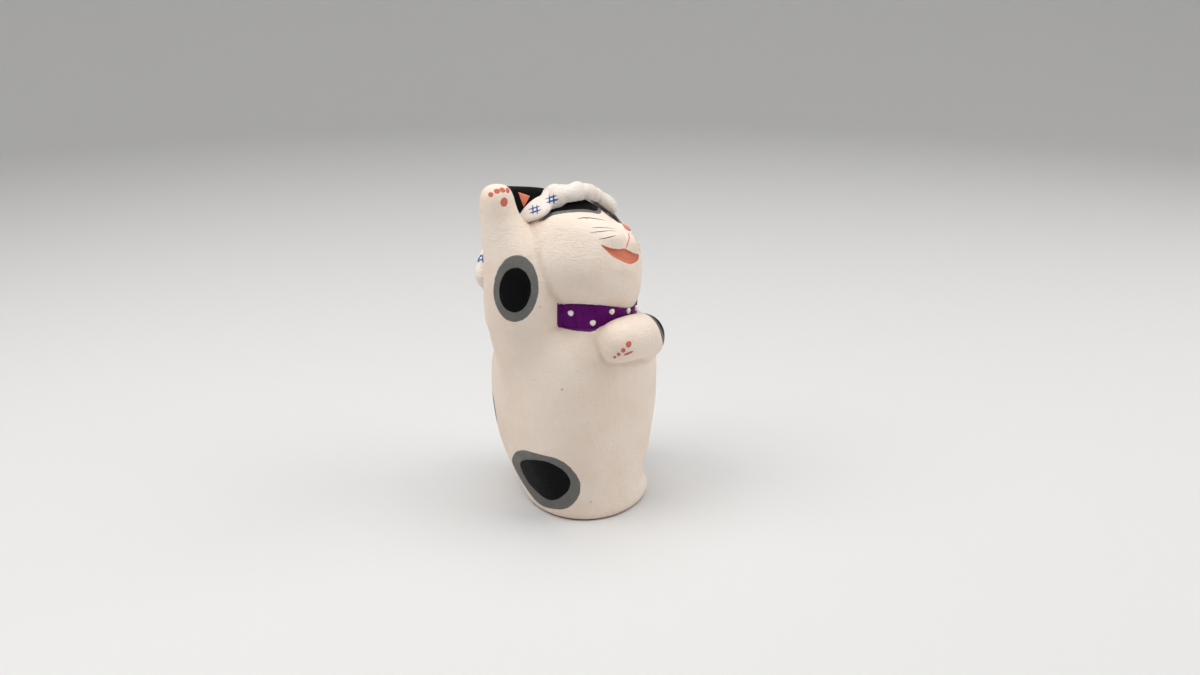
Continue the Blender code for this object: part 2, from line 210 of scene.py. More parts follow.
def chalk_ground(paint, white=CHALK_WHITE, pale=CHALK_PALE, warm=CHALK_WARM):
    """Chalk-white ground coat: brushed, a little uneven, with pinholes, and its creases darkened with
    painted shade and some dirt.
    """
    cloud = paint.between(paint.noise(90, 3), 0.35, 0.7, 0, 0.55)
    brushed = paint.noise(900, 4, (1, 1, 0.3), (1.0, 0.5, 0))
    crossed = paint.noise(3000, 3, (0.22, 0.22, 1), (0.15, 0.1, 0))
    ground = paint.mix(cloud, white, pale)
    ground = paint.mix(paint.between(brushed, 0.5, 0.85, 0, 0.3), ground, warm)
    # Creases darken: painted shade in the hollows, together with some dirt.
    ground = paint.mix(paint.between(paint.field("crease"), 0.15, 1.0, 0, 0.3), ground, CREASE_SHADE_AND_DIRT)
    near = paint.specks(210)
    rare = paint.between(paint.noise(75, 2), 0.5, 0.66)
    pinhole = paint.sums("MULTIPLY", paint.between(near, 0.035, 0.075, 1, 0), rare)
    ground = paint.mix(paint.sums("MULTIPLY", pinhole, 0.7), ground, CREASE_SHADE_AND_DIRT)
    ragged = paint.sums("MULTIPLY", paint.noise(500), 0.6 * MM)
    foot = paint.between(paint.sums("ADD", paint.height(), ragged), 0.5 * MM, 0.9 * MM, 1, 0)
    ground = paint.mix(foot, ground, BARE_CLAY)
    grain = paint.sums("ADD", paint.sums("MULTIPLY", brushed, 0.8), paint.sums("MULTIPLY", crossed, 0.8))
    grain = paint.sums("ADD", grain, paint.sums("MULTIPLY", paint.noise(2600, 3), 0.6))
    grain = paint.sums("SUBTRACT", grain, paint.sums("MULTIPLY", pinhole, 1.2))
    paint.bump(grain, 0.65, 0.4 * MM)
    return ground, brushed


def body_paint():
    """Ground coat with the grey-bordered black patches and the orange mouth and nose."""
    paint = Paint("painted_clay", 0.72)
    ground, brushed = chalk_ground(paint)
    wobble = paint.sums("MULTIPLY", paint.sums("SUBTRACT", paint.noise(420, 4), 0.5), 0.34)
    fine = paint.sums("MULTIPLY", paint.sums("SUBTRACT", paint.noise(2400, 3), 0.5), 0.22)
    wobble = paint.sums("ADD", wobble, fine)
    rim = paint.between(paint.sums("ADD", paint.field("patch_rim"), wobble), -0.10, 0.08, 1, 0)
    core = paint.between(paint.sums("ADD", paint.field("patch_core"), wobble), -0.10, 0.10, 1, 0)
    lip = paint.between(paint.sums("ADD", paint.field("lip"), fine), -0.07, 0.06, 1, 0)
    lip_edge = paint.between(paint.field("lip"), -0.55, -0.05, 0, 0.8)
    grey = paint.mix(paint.between(paint.noise(260, 5), 0.4, 0.8, 0, 0.5), BORDER_GREY, BORDER_PALE)
    black = paint.mix(paint.between(brushed, 0.56, 0.85, 0, 0.7), BRUSH_BLACK, BLACK_WORN)
    orange = paint.mix(lip_edge, LIP_ORANGE, LIP_DARK)
    base = paint.mix(rim, ground, grey)
    base = paint.mix(core, base, black)
    base = paint.mix(lip, base, orange)
    purple = paint.between(paint.sums("ADD", paint.field("collar_paint"), fine), -0.08, 0.08, 1, 0)
    base = paint.mix(purple, base, COLLAR_PURPLE)
    paint.feed(paint.shader.inputs["Specular IOR Level"], paint.between(core, 0, 1, 0.35, 0.08))
    return paint.finish(base, paint.between(paint.sums("MAXIMUM", core, purple), 0, 1, 0.74, 0.5))


def towel_paint():
    """The ground coat in the towel's cooler white."""
    paint = Paint("towel_white", 0.72)
    ground, _ = chalk_ground(paint, TOWEL_WHITE, TOWEL_PALE, TOWEL_WARM)
    return paint.finish(ground)


def flat_paint(name, main, worn, roughness):
    """Brushed paint that thins to a second shade along its strokes."""
    paint = Paint(name, roughness)
    paint.shader.inputs["Specular IOR Level"].default_value = 0.12
    brushed = paint.noise(900, 5, (1, 1, 0.25), (0.4, 0.5, 0.2))
    paint.bump(brushed, 0.12, 0.2 * MM)
    return paint.finish(paint.mix(paint.between(brushed, 0.45, 0.8), main, worn),
                        paint.between(brushed, 0.3, 0.8, roughness - 0.06, roughness + 0.1))


def clay_paint():
    """Bare clay under the foot, with grog in it."""
    paint = Paint("bare_clay", 0.9)
    grog = paint.specks(900)
    cloud = paint.noise(260, 5)
    paint.bump(paint.sums("ADD", cloud, paint.sums("MULTIPLY", grog, 0.6)), 0.4, 0.4 * MM)
    return paint.finish(paint.mix(paint.between(cloud, 0.35, 0.7), BARE_CLAY, BARE_DARK))


# Forms.

def merged(node_name):
    """A welded copy of a CAD solid."""
    bm = bmesh.new()
    bm.from_mesh(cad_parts[node_name].data)
    bmesh.ops.remove_doubles(bm, verts=bm.verts, dist=1e-6)
    bm.normal_update()
    return bm


def join(*parts):
    """One bmesh from several."""
    whole = bmesh.new()
    for part in parts:
        mesh = bpy.data.meshes.new("joining")
        part.to_mesh(mesh)
        part.free()
        whole.from_mesh(mesh)
        bpy.data.meshes.remove(mesh)
    return whole


def piece(name, bm, material, slot, *nodes):
    """A shown piece of the cat, in place of the solids that it dresses."""
    mesh = bpy.data.meshes.new(name)
    bm.to_mesh(mesh)
    bm.free()
    for face in mesh.polygons:
        face.use_smooth = True
    mesh.materials.append(material)
    obj = bpy.data.objects.new(name, mesh)
    bpy.context.scene.collection.objects.link(obj)
    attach(obj, "root")
    if nodes:
        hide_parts(*nodes)
    return obj


def outer_skin(bm):
    """Drops every closed skin but the largest."""
    bm.verts.ensure_lookup_table()
    left = set(range(len(bm.verts)))
    largest = set()
    while left:
        start = left.pop()
        skin, waiting = {start}, [start]
        while waiting:
            vert = bm.verts[waiting.pop()]
            for edge in vert.link_edges:
                other = edge.other_vert(vert).index
                if other in left:
                    left.discard(other)
                    skin.add(other)
                    waiting.append(other)
        if len(skin) > len(largest):
            largest = skin
    bmesh.ops.delete(bm, geom=[vert for vert in bm.verts if vert.index not in largest], context="VERTS")
    return bm


def fired(parts, voxel, swell, rubs):
    """One clay skin round several solids: swelled to close the slip gaps, remeshed and rubbed smooth."""
    for part in parts:
        for vert in part.verts:
            vert.co += vert.normal * swell
    mesh = bpy.data.meshes.new("wet_clay")
    join(*parts).to_mesh(mesh)
    obj = bpy.data.objects.new("wet_clay", mesh)
    bpy.context.scene.collection.objects.link(obj)
    remesh = obj.modifiers.new("skin", "REMESH")
    remesh.mode = "VOXEL"
    remesh.voxel_size = voxel
    rub = obj.modifiers.new("rub", "SMOOTH")
    rub.factor = 0.5
    rub.iterations = rubs
    skin = bpy.data.meshes.new_from_object(obj.evaluated_get(bpy.context.evaluated_depsgraph_get()))
    bpy.data.objects.remove(obj)
    bpy.data.meshes.remove(mesh)
    bm = bmesh.new()
    bm.from_mesh(skin)
    bpy.data.meshes.remove(skin)
    return outer_skin(bm)


def plug(radius, low, high):
    """Round plug that closes the hollow trunk above the base plate."""
    bm = bmesh.new()
    bmesh.ops.create_cone(bm, cap_ends=True, segments=48, radius1=radius, radius2=radius, depth=high - low)
    bmesh.ops.translate(bm, verts=bm.verts, vec=(0, 0, (low + high) / 2))
    bm.normal_update()
    return bm


def places(bm):
    """Where the vertices lie, as an array."""
    return np.array([vert.co[:] for vert in bm.verts])


def head_axes(spots):
    """Points in the head's own axes, in millimetres."""
    return (spots - np.array(HEAD_CENTRE)) @ np.array(HEAD_TURN) / MM


CREASE_SPREAD = 6
TIGHT_CREASE = 0.02 * MM


def crease_depth(bm):
    """How deep each vertex lies in a hollow, 0 on open surfaces to 1 in a tight crease."""
    hollow = np.zeros(len(bm.verts))
    for vert in bm.verts:
        around = [edge.other_vert(vert) for edge in vert.link_edges]
        mean = sum((other.co for other in around), Vector()) / len(around)
        hollow[vert.index] = (mean - vert.co).dot(vert.normal)
    for _ in range(CREASE_SPREAD):
        hollow = np.array([(hollow[vert.index] + sum(hollow[edge.other_vert(vert).index]
                            for edge in vert.link_edges)) / (1 + len(vert.link_edges)) for vert in bm.verts])
    return np.clip(hollow / TIGHT_CREASE, 0, 1)


def set_field(obj, name, values):
    """Gives a piece one number per vertex for its paint to read."""
    field = obj.data.attributes.new(name, "FLOAT", "POINT")
    field.data.foreach_set("value", np.asarray(values, dtype=np.float32))


# Paint outlines.

def sight(pixel):
    """Way from the camera through a photo pixel."""
    return (view_right * ((pixel[0] - PHOTO_WIDE / 2) / VIEW_LENS)
            + view_up * ((PHOTO_HIGH / 2 - pixel[1]) / VIEW_LENS) - view_back).normalized()


def on_photo(spots):
    """Photo columns and rows of points, and their depths from the camera."""
    away = spots - np.array(EYE)
    depths = -away @ np.array(view_back)
    columns = PHOTO_WIDE / 2 + VIEW_LENS * (away @ np.array(view_right)) / depths
    rows = PHOTO_HIGH / 2 - VIEW_LENS * (away @ np.array(view_up)) / depths
    return columns, rows, depths


SEEN_STEPS = 60


def seen(surface, pixel, towards=BODY_PIXEL):
    """Where a photo pixel lands on a surface; one just off its edge moves in until it lands."""
    for step in range(SEEN_STEPS):
        share = step / SEEN_STEPS
        moved = (pixel[0] + (towards[0] - pixel[0]) * share, pixel[1] + (towards[1] - pixel[1]) * share)
        spot, normal = surface.ray_cast(EYE, sight(moved))[:2]
        if spot:
            return spot, normal
    return surface.find_nearest(EYE + sight(pixel) * FOOT_DISTANCE)[:2]


WELL_OUTSIDE = 0.09


def on_face(surface, spot):
    """Point of the face, from head millimetres seen from the front."""
    start = HEAD_CENTRE + HEAD_TURN @ Vector((spot[0] * MM, -WELL_OUTSIDE, spot[1] * MM))
    return surface.ray_cast(start, HEAD_TURN @ Vector((0, 1, 0)))[:2]


def round_side(surface, turn, height):
    """Point at an angle in degrees about the upright axis and a height in millimetres."""
    way = Vector((math.cos(math.radians(turn)), math.sin(math.radians(turn)), 0))
    return surface.ray_cast(Vector((0, 0, height * MM)) + way * WELL_OUTSIDE, -way)[:2]


def rounded(outline, between=6):
    """Closed outline with its corners rounded through the given points."""
    points = np.array(outline, dtype=float)
    before, after, later = np.roll(points, 1, 0), np.roll(points, -1, 0), np.roll(points, -2, 0)
    made = []
    for step in range(between):
        t = step / between
        made.append(0.5 * (2 * points + (after - before) * t
                           + (2 * before - 5 * points + 4 * after - later) * t * t
                           + (3 * points - before - 3 * after + later) * t ** 3))
    return np.stack(made, 1).reshape(-1, points.shape[1])


def edge_distance(points, outline):
    """Distance of flat points from a closed outline, negative inside."""
    nearest = np.full(len(points), 1e9)
    inside = np.zeros(len(points), dtype=bool)
    for start, end in zip(outline, np.roll(outline, -1, 0)):
        along = end - start
        share = np.clip(((points - start) @ along) / max(along @ along, 1e-12), 0, 1)
        nearest = np.minimum(nearest, np.linalg.norm(points - start - share[:, None] * along, axis=1))
        if start[1] != end[1]:
            spans = (start[1] > points[:, 1]) != (end[1] > points[:, 1])
            inside ^= spans & (points[:, 0] < start[0] + (points[:, 1] - start[1]) * along[0] / along[1])
    return np.where(inside, -nearest, nearest)


PATCH_REACH = 0.016


def patch_distance(spots, normals, landed):
    """Distance in millimetres of every body vertex from a painted outline that lies on the body."""
    rim = np.array([spot[:] for spot, normal in landed])
    out = np.mean([normal[:] for spot, normal in landed], axis=0)
    out /= np.linalg.norm(out)
    centre = rim.mean(axis=0)
    first = np.cross(out, (0, 0, 1.0))
    first /= np.linalg.norm(first)
    second = np.cross(out, first)
    flat = np.stack([(spots - centre) @ first, (spots - centre) @ second], 1) / MM
    outline = rounded(np.stack([(rim - centre) @ first, (rim - centre) @ second], 1) / MM)
    near = (np.linalg.norm(spots - centre, axis=1) < PATCH_REACH) & (normals @ out > -0.15)
    values = np.full(len(spots), FAR_OFF)
    values[near] = edge_distance(flat[near], outline)
    return values


def ellipse(centre, wide, high, lean=0.0, count=14):
    """Points round an ellipse of the given half sizes."""
    points = []
    for step in range(count):
        angle = math.tau * step / count
        x, y = wide * math.cos(angle), high * math.sin(angle)
        points.append((centre[0] + x * math.cos(lean) - y * math.sin(lean),
                       centre[1] + x * math.sin(lean) + y * math.cos(lean)))
    return points


def stroke(surface, spots, half_widths, taper=0.2, along_count=24, across_count=5):
    """Brush stroke laid on a surface through the given points, with paint a little proud of it."""
    line = [Vector(spot) for spot in spots]
    lengths = np.concatenate([[0], np.cumsum([(b - a).length for a, b in zip(line, line[1:])])])
    shares = lengths / lengths[-1]
    table = np.array([spot[:] for spot in line])

    def middle(share):
        return Vector([np.interp(share, shares, table[:, axis]) for axis in range(3)])

    bm = bmesh.new()
    bmesh.ops.create_grid(bm, x_segments=along_count, y_segments=across_count, size=1)
    for vert in bm.verts:
        share, across = (vert.co.x + 1) / 2, vert.co.y
        centre = middle(share)
        ahead = (middle(min(1, share + 0.03)) - middle(max(0, share - 0.03))).normalized()
        normal = surface.find_nearest(centre)[1]
        wide = np.interp(share, np.linspace(0, 1, len(half_widths)), half_widths) * MM
        end = min(1, share / taper, (1 - share) / taper)
        wide *= math.sqrt(max(0.002, 1 - (1 - end) ** 2))
        spot, out = surface.find_nearest(centre + normal.cross(ahead) * across * wide)[:2]
        vert.co = spot + out * PAINT_PROUD * (1 - 0.7 * across * across)
    bmesh.ops.solidify(bm, geom=bm.faces[:], thickness=PAINT_THICK)
    bmesh.ops.remove_doubles(bm, verts=bm.verts, dist=1e-7)
    bmesh.ops.recalc_face_normals(bm, faces=bm.faces)
    return bm


# The cat's body: trunk, head and both arms as one painted skin.

body_nodes = ("trunk_front", "trunk_back", "head_face", "head_back", "raised_arm", "folded_arm")
PLUG_RADIUS, PLUG_GAP, PLUG_TOP = 0.0104, 0.0006, 0.009
plate_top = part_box("base_plate")[1][2]
clay = [merged(name) for name in body_nodes] + [plug(PLUG_RADIUS, plate_top + PLUG_GAP, PLUG_TOP)]
body = fired(clay, *BODY_SKIN)

# The raised arm's root is worked into the trunk with no edge left.
ARM_ROOT = Vector((-0.0165, 0.0020, 0.0385))
ARM_ROOT_REACH, ARM_ROOT_TOP, ARM_ROOT_RUBS = 0.019, 0.0515, 220
root_verts = [vert for vert in body.verts
              if (vert.co - ARM_ROOT).length < ARM_ROOT_REACH and vert.co.z < ARM_ROOT_TOP]
for _ in range(ARM_ROOT_RUBS):
    bmesh.ops.smooth_vert(body, verts=root_verts, factor=0.5,
                          use_axis_x=True, use_axis_y=True, use_axis_z=True)

# Face features at their photo pixels on the near side; the far side mirrors them about the mouth's peak.
MOUTH_PEAK = (625.7, 248.8)
MOUTH_CORNER = (600.8, 244.9)
MOUTH_TOP = [(609.4, 248.0), (618.5, 249.4), MOUTH_PEAK, (632.9, 253.2), (639.0, 254.8)]
MOUTH_FLOOR = [(638.4, 259.0), (634.7, 262.6), (629.3, 263.9), (622.0, 261.2), (613.0, 256.6),
               (605.8, 250.3)]
NOSE_PIXELS = [(620.2, 226.0), (624.5, 226.6), (630.2, 231.6), (627.9, 233.0), (623.5, 230.0)]
PHILTRUM = [(628.2, 232.8), (629.2, 236.5), (628.6, 241.0), (627.2, 245.0), (625.9, 248.8)]
EYE_LINE = [(577, 218.7), (582.5, 217.9), (587.8, 217.8), (597, 218.9), (605.8, 220.6)]
WHISKERS = ([(591.5, 227.6), (603, 227.7), (616.0, 229.4)], [(589.4, 232.8), (602, 231.4), (616.4, 231.6)],
            [(598.4, 239.4), (608, 237.6), (616.6, 235.7)])
BROW_RIM = [(540.5, 221.7), (549.9, 216.5), (559.3, 213.9), (570.2, 212.6), (581.1, 212.2), (590.5, 212.6),
            (599.9, 213.9), (600.0, 206), (597, 199), (588, 196), (572, 198), (556, 204), (545, 212)]
BROW_CORE = [(549, 213.6), (554.6, 211.8), (565.5, 210.3), (576.4, 209.5), (587.3, 209.5), (596.4, 211.0),
             (596.9, 204), (594, 199), (586, 197), (572, 199), (556, 205)]
# In head millimetres: how much further out the far whiskers sit, how far in front of the head's middle
# the far brow patch ends, and the black under the towel that joins both brow patches.
WHISKER_SPREAD = 1.6
FAR_BROW_END = 3.5
PARTING_HEIGHT, PARTING_WIDE, PARTING_HIGH = 10.3, 3.0, 1.5


def face_spot(surface, pixel):
    """A photo pixel on the face, as sideways and upward millimetres of the head."""
    x, _, z = head_axes(np.array(seen(surface, pixel, FACE_PIXEL)[0]))
    return float(x), float(z)


bare_skin = BVHTree.FromBMesh(body)
face_middle, peak = face_spot(bare_skin, MOUTH_PEAK)


def other_side(outline, spread=0.0):
    """Face points mirrored about the mouth's peak."""
    return [(2 * face_middle - x + spread, z) for x, z in outline]


mouth_corner = [face_spot(bare_skin, MOUTH_CORNER)]
mouth_top = [face_spot(bare_skin, pixel) for pixel in MOUTH_TOP]
mouth_low = [face_spot(bare_skin, pixel) for pixel in MOUTH_FLOOR]
mouth = mouth_corner + mouth_top + other_side(mouth_corner) + mouth_low
mouth_foot = min(mouth_low, key=lambda spot: spot[1])
nose = [face_spot(bare_skin, pixel) for pixel in NOSE_PIXELS]
nose_middle = np.mean(nose, axis=0)

# Where the face ends towards the back, and the stretch of it with a finer mesh, in head millimetres.
FACE_BACK = -3
FINE_SIDE, FINE_LOW, FINE_HIGH, FINE_BACK = 10, -8.5, 5.5, -4


def in_face(vert):
    """Whether a vertex lies in the finer stretch."""
    x, y, z = head_axes(np.array(vert.co))
    return abs(x - face_middle) < FINE_SIDE and FINE_LOW < z < FINE_HIGH and y < FINE_BACK


face_edges = [edge for edge in body.edges if in_face(edge.verts[0]) and in_face(edge.verts[1])]
bmesh.ops.subdivide_edges(body, edges=face_edges, cuts=1, smooth=0.0, use_grid_fill=True)
bmesh.ops.triangulate(body, faces=body.faces[:])
body.normal_update()
face_place = head_axes(places(body))
face_flat = face_place[:, [0, 2]]
front = face_place[:, 1] < FACE_BACK
mouth_edge = np.where(front, edge_distance(face_flat, rounded(mouth)), FAR_OFF)
nose_edge = np.where(front, edge_distance(face_flat, rounded(nose)), FAR_OFF)


def mound(x, z, wide, high):
    """Soft mound on the face, 1 at its middle."""
    return np.exp(-((face_flat[:, 0] - x) / wide) ** 2 - ((face_flat[:, 1] - z) / high) ** 2)


# Relief in millimetres: a rise, then the half width and half height of its mound.
NOSE_RISE, NOSE_MOUND = 1.0, (2.2, 1.8)
MUZZLE_RISE, MUZZLE_MOUND, MUZZLE_SIDE, MUZZLE_ABOVE = 0.95, (2.9, 1.9), 3.6, 1.9
GROOVE_DEPTH, GROOVE_MOUND, GROOVE_SIDE, GROOVE_ABOVE = 0.4, (0.7, 2.2), 0.6, 1.6
CHIN_RISE, CHIN_MOUND, CHIN_BELOW = 0.35, (4.0, 1.3), 1.6
MOUTH_DEPTH, MOUTH_BEVEL = 0.55, 0.6
# The foot swells a little at the front left and draws in above: size, height and softness in millimetres.
TOE_SWELL, TOE_HEIGHT, TOE_SOFT = 0.85, 2.6, 2.0
TOE_PINCH, PINCH_HEIGHT, PINCH_SOFT = 0.7, 7.5, 3.4
TOE_SPAN = math.radians(22)

relief = NOSE_RISE * mound(*nose_middle, *NOSE_MOUND)
for side in (-MUZZLE_SIDE, MUZZLE_SIDE):
    relief += MUZZLE_RISE * mound(face_middle + side, peak + MUZZLE_ABOVE, *MUZZLE_MOUND)
relief -= GROOVE_DEPTH * mound(face_middle + GROOVE_SIDE, peak + GROOVE_ABOVE, *GROOVE_MOUND)
relief += CHIN_RISE * mound(mouth_foot[0], mouth_foot[1] - CHIN_BELOW, *CHIN_MOUND)
relief -= MOUTH_DEPTH * np.clip(-mouth_edge / MOUTH_BEVEL, 0, 1)
for vert in body.verts:
    if front[vert.index]:
        vert.co += vert.normal * relief[vert.index] * MM
    aside = (math.atan2(vert.co.y, vert.co.x) - VIEW_TURN) / TOE_SPAN
    height = vert.co.z / MM
    toe = (TOE_SWELL * math.exp(-((height - TOE_HEIGHT) / TOE_SOFT) ** 2)
           - TOE_PINCH * math.exp(-((height - PINCH_HEIGHT) / PINCH_SOFT) ** 2))
    vert.co += vert.normal * toe * MM * math.exp(-aside ** 2)
    vert.co.z = max(vert.co.z, 0)
body.normal_update()

body_skin = BVHTree.FromBMesh(body)
spots = places(body)
normals = np.array([vert.normal[:] for vert in body.verts])
# Depth of the hollows, which the ground coat darkens with painted shade and some dirt.
crease = crease_depth(body)

# Painted patches: outlines on the near side follow the photograph's pixels. Those on the hidden side have
# a turn in degrees, a height in millimetres, half sizes in the same units, and a lean.
ELBOW_RIM = ellipse((516, 288.5), 22.5, 33.5, 0.06)
ELBOW_CORE = ellipse((515, 290), 16, 22.5, 0.08)
LEG_RIM = [(512, 460), (517.5, 451), (531.8, 452), (555, 458), (571, 468), (580, 483), (578, 497.5),
           (567.5, 508), (553, 509), (537, 502), (523, 487), (514, 471)]
LEG_CORE = [(520, 463.6), (528, 459.6), (544, 461), (560, 468), (569.3, 478), (569.3, 488.6), (560.4, 497.5),
            (549.6, 500), (537, 492), (526.4, 479.6)]
BACK_RIM, BACK_CORE = (110, 22, 25, 8.5, 0.1), (110, 22, 18, 5.6, 0.1)
HAUNCH_RIM, HAUNCH_CORE = (20, 15, 25, 9.5, -0.05), (20, 15, 17.5, 6.4, -0.05)


def seen_patch(outline):
    """Where the pixels of a patch land on the body."""
    return [seen(body_skin, pixel) for pixel in outline]


def hidden_patch(turn, height, wide, high, lean):
    """Where an oval patch lands on the trunk's hidden side."""
    return [round_side(body_skin, *point) for point in ellipse((turn, height), wide, high, lean)]


def nearest_patch(*patches):
    """Distance of every body vertex from the nearest of several patches."""
    return np.min([patch_distance(spots, normals, landed) for landed in patches], axis=0)


patch_rim = nearest_patch(seen_patch(ELBOW_RIM), seen_patch(LEG_RIM),
                          hidden_patch(*BACK_RIM), hidden_patch(*HAUNCH_RIM))
patch_core = nearest_patch(seen_patch(ELBOW_CORE), seen_patch(LEG_CORE),
                           hidden_patch(*BACK_CORE), hidden_patch(*HAUNCH_CORE))

# Round patch on the outside of the folded arm, behind the edge that the photograph shows.
FOREARM_EDGE = (658, 326)
FOREARM_BEHIND = 5.0 * MM
FOREARM_RIM, FOREARM_CORE = 5.5, 4.1
forearm_edge = seen(body_skin, FOREARM_EDGE)[0]
forearm = np.array(body_skin.find_nearest(forearm_edge - view_back * FOREARM_BEHIND)[0])
from_forearm = np.linalg.norm(spots - forearm, axis=1) / MM
patch_rim = np.minimum(patch_rim, from_forearm - FOREARM_RIM)
patch_core = np.minimum(patch_core, from_forearm - FOREARM_CORE)

# Brow patches under the towel.
CROWN_BACK = 3
crown_front = face_place[:, 1] < CROWN_BACK
parting_outline = ellipse((face_middle, PARTING_HEIGHT), PARTING_WIDE, PARTING_HIGH)
parting = edge_distance(face_flat, np.array(parting_outline))
for outline, field in ((BROW_RIM, patch_rim), (BROW_CORE, patch_core)):
    near = [face_spot(bare_skin, pixel) for pixel in outline]
    near_brow = edge_distance(face_flat, rounded(near, 3))
    far_brow = edge_distance(face_flat, rounded(other_side(near), 3))
    far_brow = np.maximum(far_brow, face_place[:, 1] + FAR_BROW_END)
    brow = np.min([near_brow, far_brow, parting], axis=0)
    field[:] = np.where(crown_front, np.minimum(field, brow), field)

# Collar paint that runs past the collar onto the shoulder, and stops short of head and folded arm.
COLLAR_PIXELS = [(557, 303), (557, 326), (566, 329), (576, 331), (590, 332), (602, 329), (609, 325),
                 (612, 318), (630, 309), (632, 300), (594, 301)]
PIXEL_MM = 0.27
PAINT_STOP = 0.7 * MM
unpainted = [BVHTree.FromBMesh(merged(name)) for name in ("head_face", "head_back", "folded_arm")]
columns, rows, _ = on_photo(spots)
collar_outline = np.array(COLLAR_PIXELS, dtype=float)
collar_paint = edge_distance(np.stack([columns, rows], 1), collar_outline) * PIXEL_MM
collar_paint[(normals * (spots - np.array(EYE))).sum(axis=1) > 0] = FAR_OFF
for index in np.flatnonzero(collar_paint < 1):
    if any(form.find_nearest(Vector(spots[index]))[3] < PAINT_STOP for form in unpainted):
        collar_paint[index] = FAR_OFF

cat_body = piece("cat_body", body, body_paint(), "painted_clay", *body_nodes)
set_field(cat_body, "patch_rim", patch_rim)
set_field(cat_body, "patch_core", patch_core)
set_field(cat_body, "lip", np.minimum(mouth_edge, nose_edge))
set_field(cat_body, "crease", crease)
set_field(cat_body, "collar_paint", collar_paint)

# Towel round the head. Folds carry its roll on to the band: photo pixels, each with a radius in millimetres.
towel_nodes = ("towel_roll", "towel_knot", "towel_band_right", "towel_band_left",
               "towel_tail_right", "towel_tail_left")
FOLDS = [((547.5, 191.5), 1.7), ((551, 191), 2.0), ((555, 192.5), 2.3),
         ((554, 205), 1.6), ((559, 205), 1.4), ((563.5, 203.5), 1.3)]
FOLD_RISE = 0.35


def fold(pixel, radius, rise=FOLD_RISE):
    """Small ball of clay on the body at a photo pixel, raised by a share of its radius."""
    bm = bmesh.new()
    bmesh.ops.create_icosphere(bm, subdivisions=3, radius=radius * MM)
    spot, normal = seen(body_skin, pixel)
    bmesh.ops.translate(bm, verts=bm.verts, vec=spot + normal * rise * radius * MM)
    bm.normal_update()
    return bm


towel = fired([merged(name) for name in towel_nodes] + [fold(*values) for values in FOLDS], *TOWEL_SKIN)

# The roll is drawn up off the brow along its lower edge, and pressed in between its folds.
TOWEL_EDGE = [(545, 218), (549, 214.5), (556, 210), (566, 205.6), (575, 203), (585, 201.4), (592, 200.8),
              (598, 203.2), (604, 207), (611, 213.5), (622, 224)]
TOWEL_PULL = (view_up * 0.75 - view_back * 0.3) * MM
TOWEL_PULL_ROWS = 15
TOWEL_PULL_COLUMNS, TOWEL_PULL_SHARES = (552, 567, 611, 622), (0, 1, 1, 0)
TOWEL_PULL_BACK = 5
CREASE_PIXELS = [(565, 192), (586, 192), (600, 192)]
CREASE_DEEP, CREASE_TURN, CREASE_BACK = 0.36 * MM, 0.09, 2

wet_towel = BVHTree.FromBMesh(towel)
crease_turns = []
for pixel in CREASE_PIXELS:
    x, y, _ = head_axes(np.array(seen(wet_towel, pixel)[0]))
    crease_turns.append(math.atan2(y, x))
columns, rows, _ = on_photo(places(towel))
x, y, _ = head_axes(places(towel)).T
above_edge = np.interp(columns, *zip(*TOWEL_EDGE)) - rows
drawn = np.clip(1 - above_edge / TOWEL_PULL_ROWS, 0, 1)
drawn *= np.interp(columns, TOWEL_PULL_COLUMNS, TOWEL_PULL_SHARES) * (y < TOWEL_PULL_BACK)
pressed = sum(np.exp(-((np.arctan2(y, x) - turn) / CREASE_TURN) ** 2) for turn in crease_turns)
pressed = np.minimum(1, pressed) * (y < CREASE_BACK)
for vert, pull, press in zip(towel.verts, drawn, pressed):
    vert.co += TOWEL_PULL * pull - vert.normal * CREASE_DEEP * press
towel.normal_update()
towel_skin = BVHTree.FromBMesh(towel)
# The towel's hollows get the same painted shade and dirt.
towel_crease = crease_depth(towel)
towel_piece = piece("towel", towel, towel_paint(), "painted_clay", *towel_nodes)
set_field(towel_piece, "crease", towel_crease)

# Ears, pinched down to the flat top that the photograph shows.
EAR_TOP_COLUMNS, EAR_TOP_ROWS = (506, 535, 545), (186.0, 187.6, 188.2)
EAR_PINCH = 0.85


def across_head(spots):
    """The same points on the head's other side."""
    return head_axes(spots) * (-1, 1, 1) * MM @ np.array(HEAD_TURN).T + np.array(HEAD_CENTRE)


def pinched(spots):
    """Points of the near ear after the pinch."""
    columns, rows, depths = on_photo(spots)
    over = np.maximum(0, np.interp(columns, EAR_TOP_COLUMNS, EAR_TOP_ROWS) - rows)
    return spots - np.outer(EAR_PINCH * over * depths / VIEW_LENS, view_up)


black_paint = flat_paint("ear_black", BRUSH_BLACK, BLACK_WORN, 0.5)
ear_skins = {}
for name in ("right_ear", "left_ear"):
    ear = fired([merged(name)], *EAR_SKIN)
    shaped = pinched(places(ear)) if name == "right_ear" else across_head(pinched(across_head(places(ear))))
    for vert, spot in zip(ear.verts, shaped):
        vert.co = spot
    ear.normal_update()
    ear_skins[name] = BVHTree.FromBMesh(ear)
    piece("painted_" + name, ear, black_paint, "black_paint", name)

# Collar, with its near end worked on to the arm.
COLLAR_END = [(560.5, 307), (561, 313), (561, 319), (560.5, 324)]
COLLAR_FOLD, COLLAR_FOLD_RISE = 1.0, -0.55
collar_folds = [fold(pixel, COLLAR_FOLD, COLLAR_FOLD_RISE) for pixel in COLLAR_END]
collar = fired([merged("collar")] + collar_folds, *COLLAR_SKIN)
purple_paint = flat_paint("collar_purple", COLLAR_PURPLE, COLLAR_DEEP, 0.5)
piece("painted_collar", collar, purple_paint, "purple_paint", "collar")

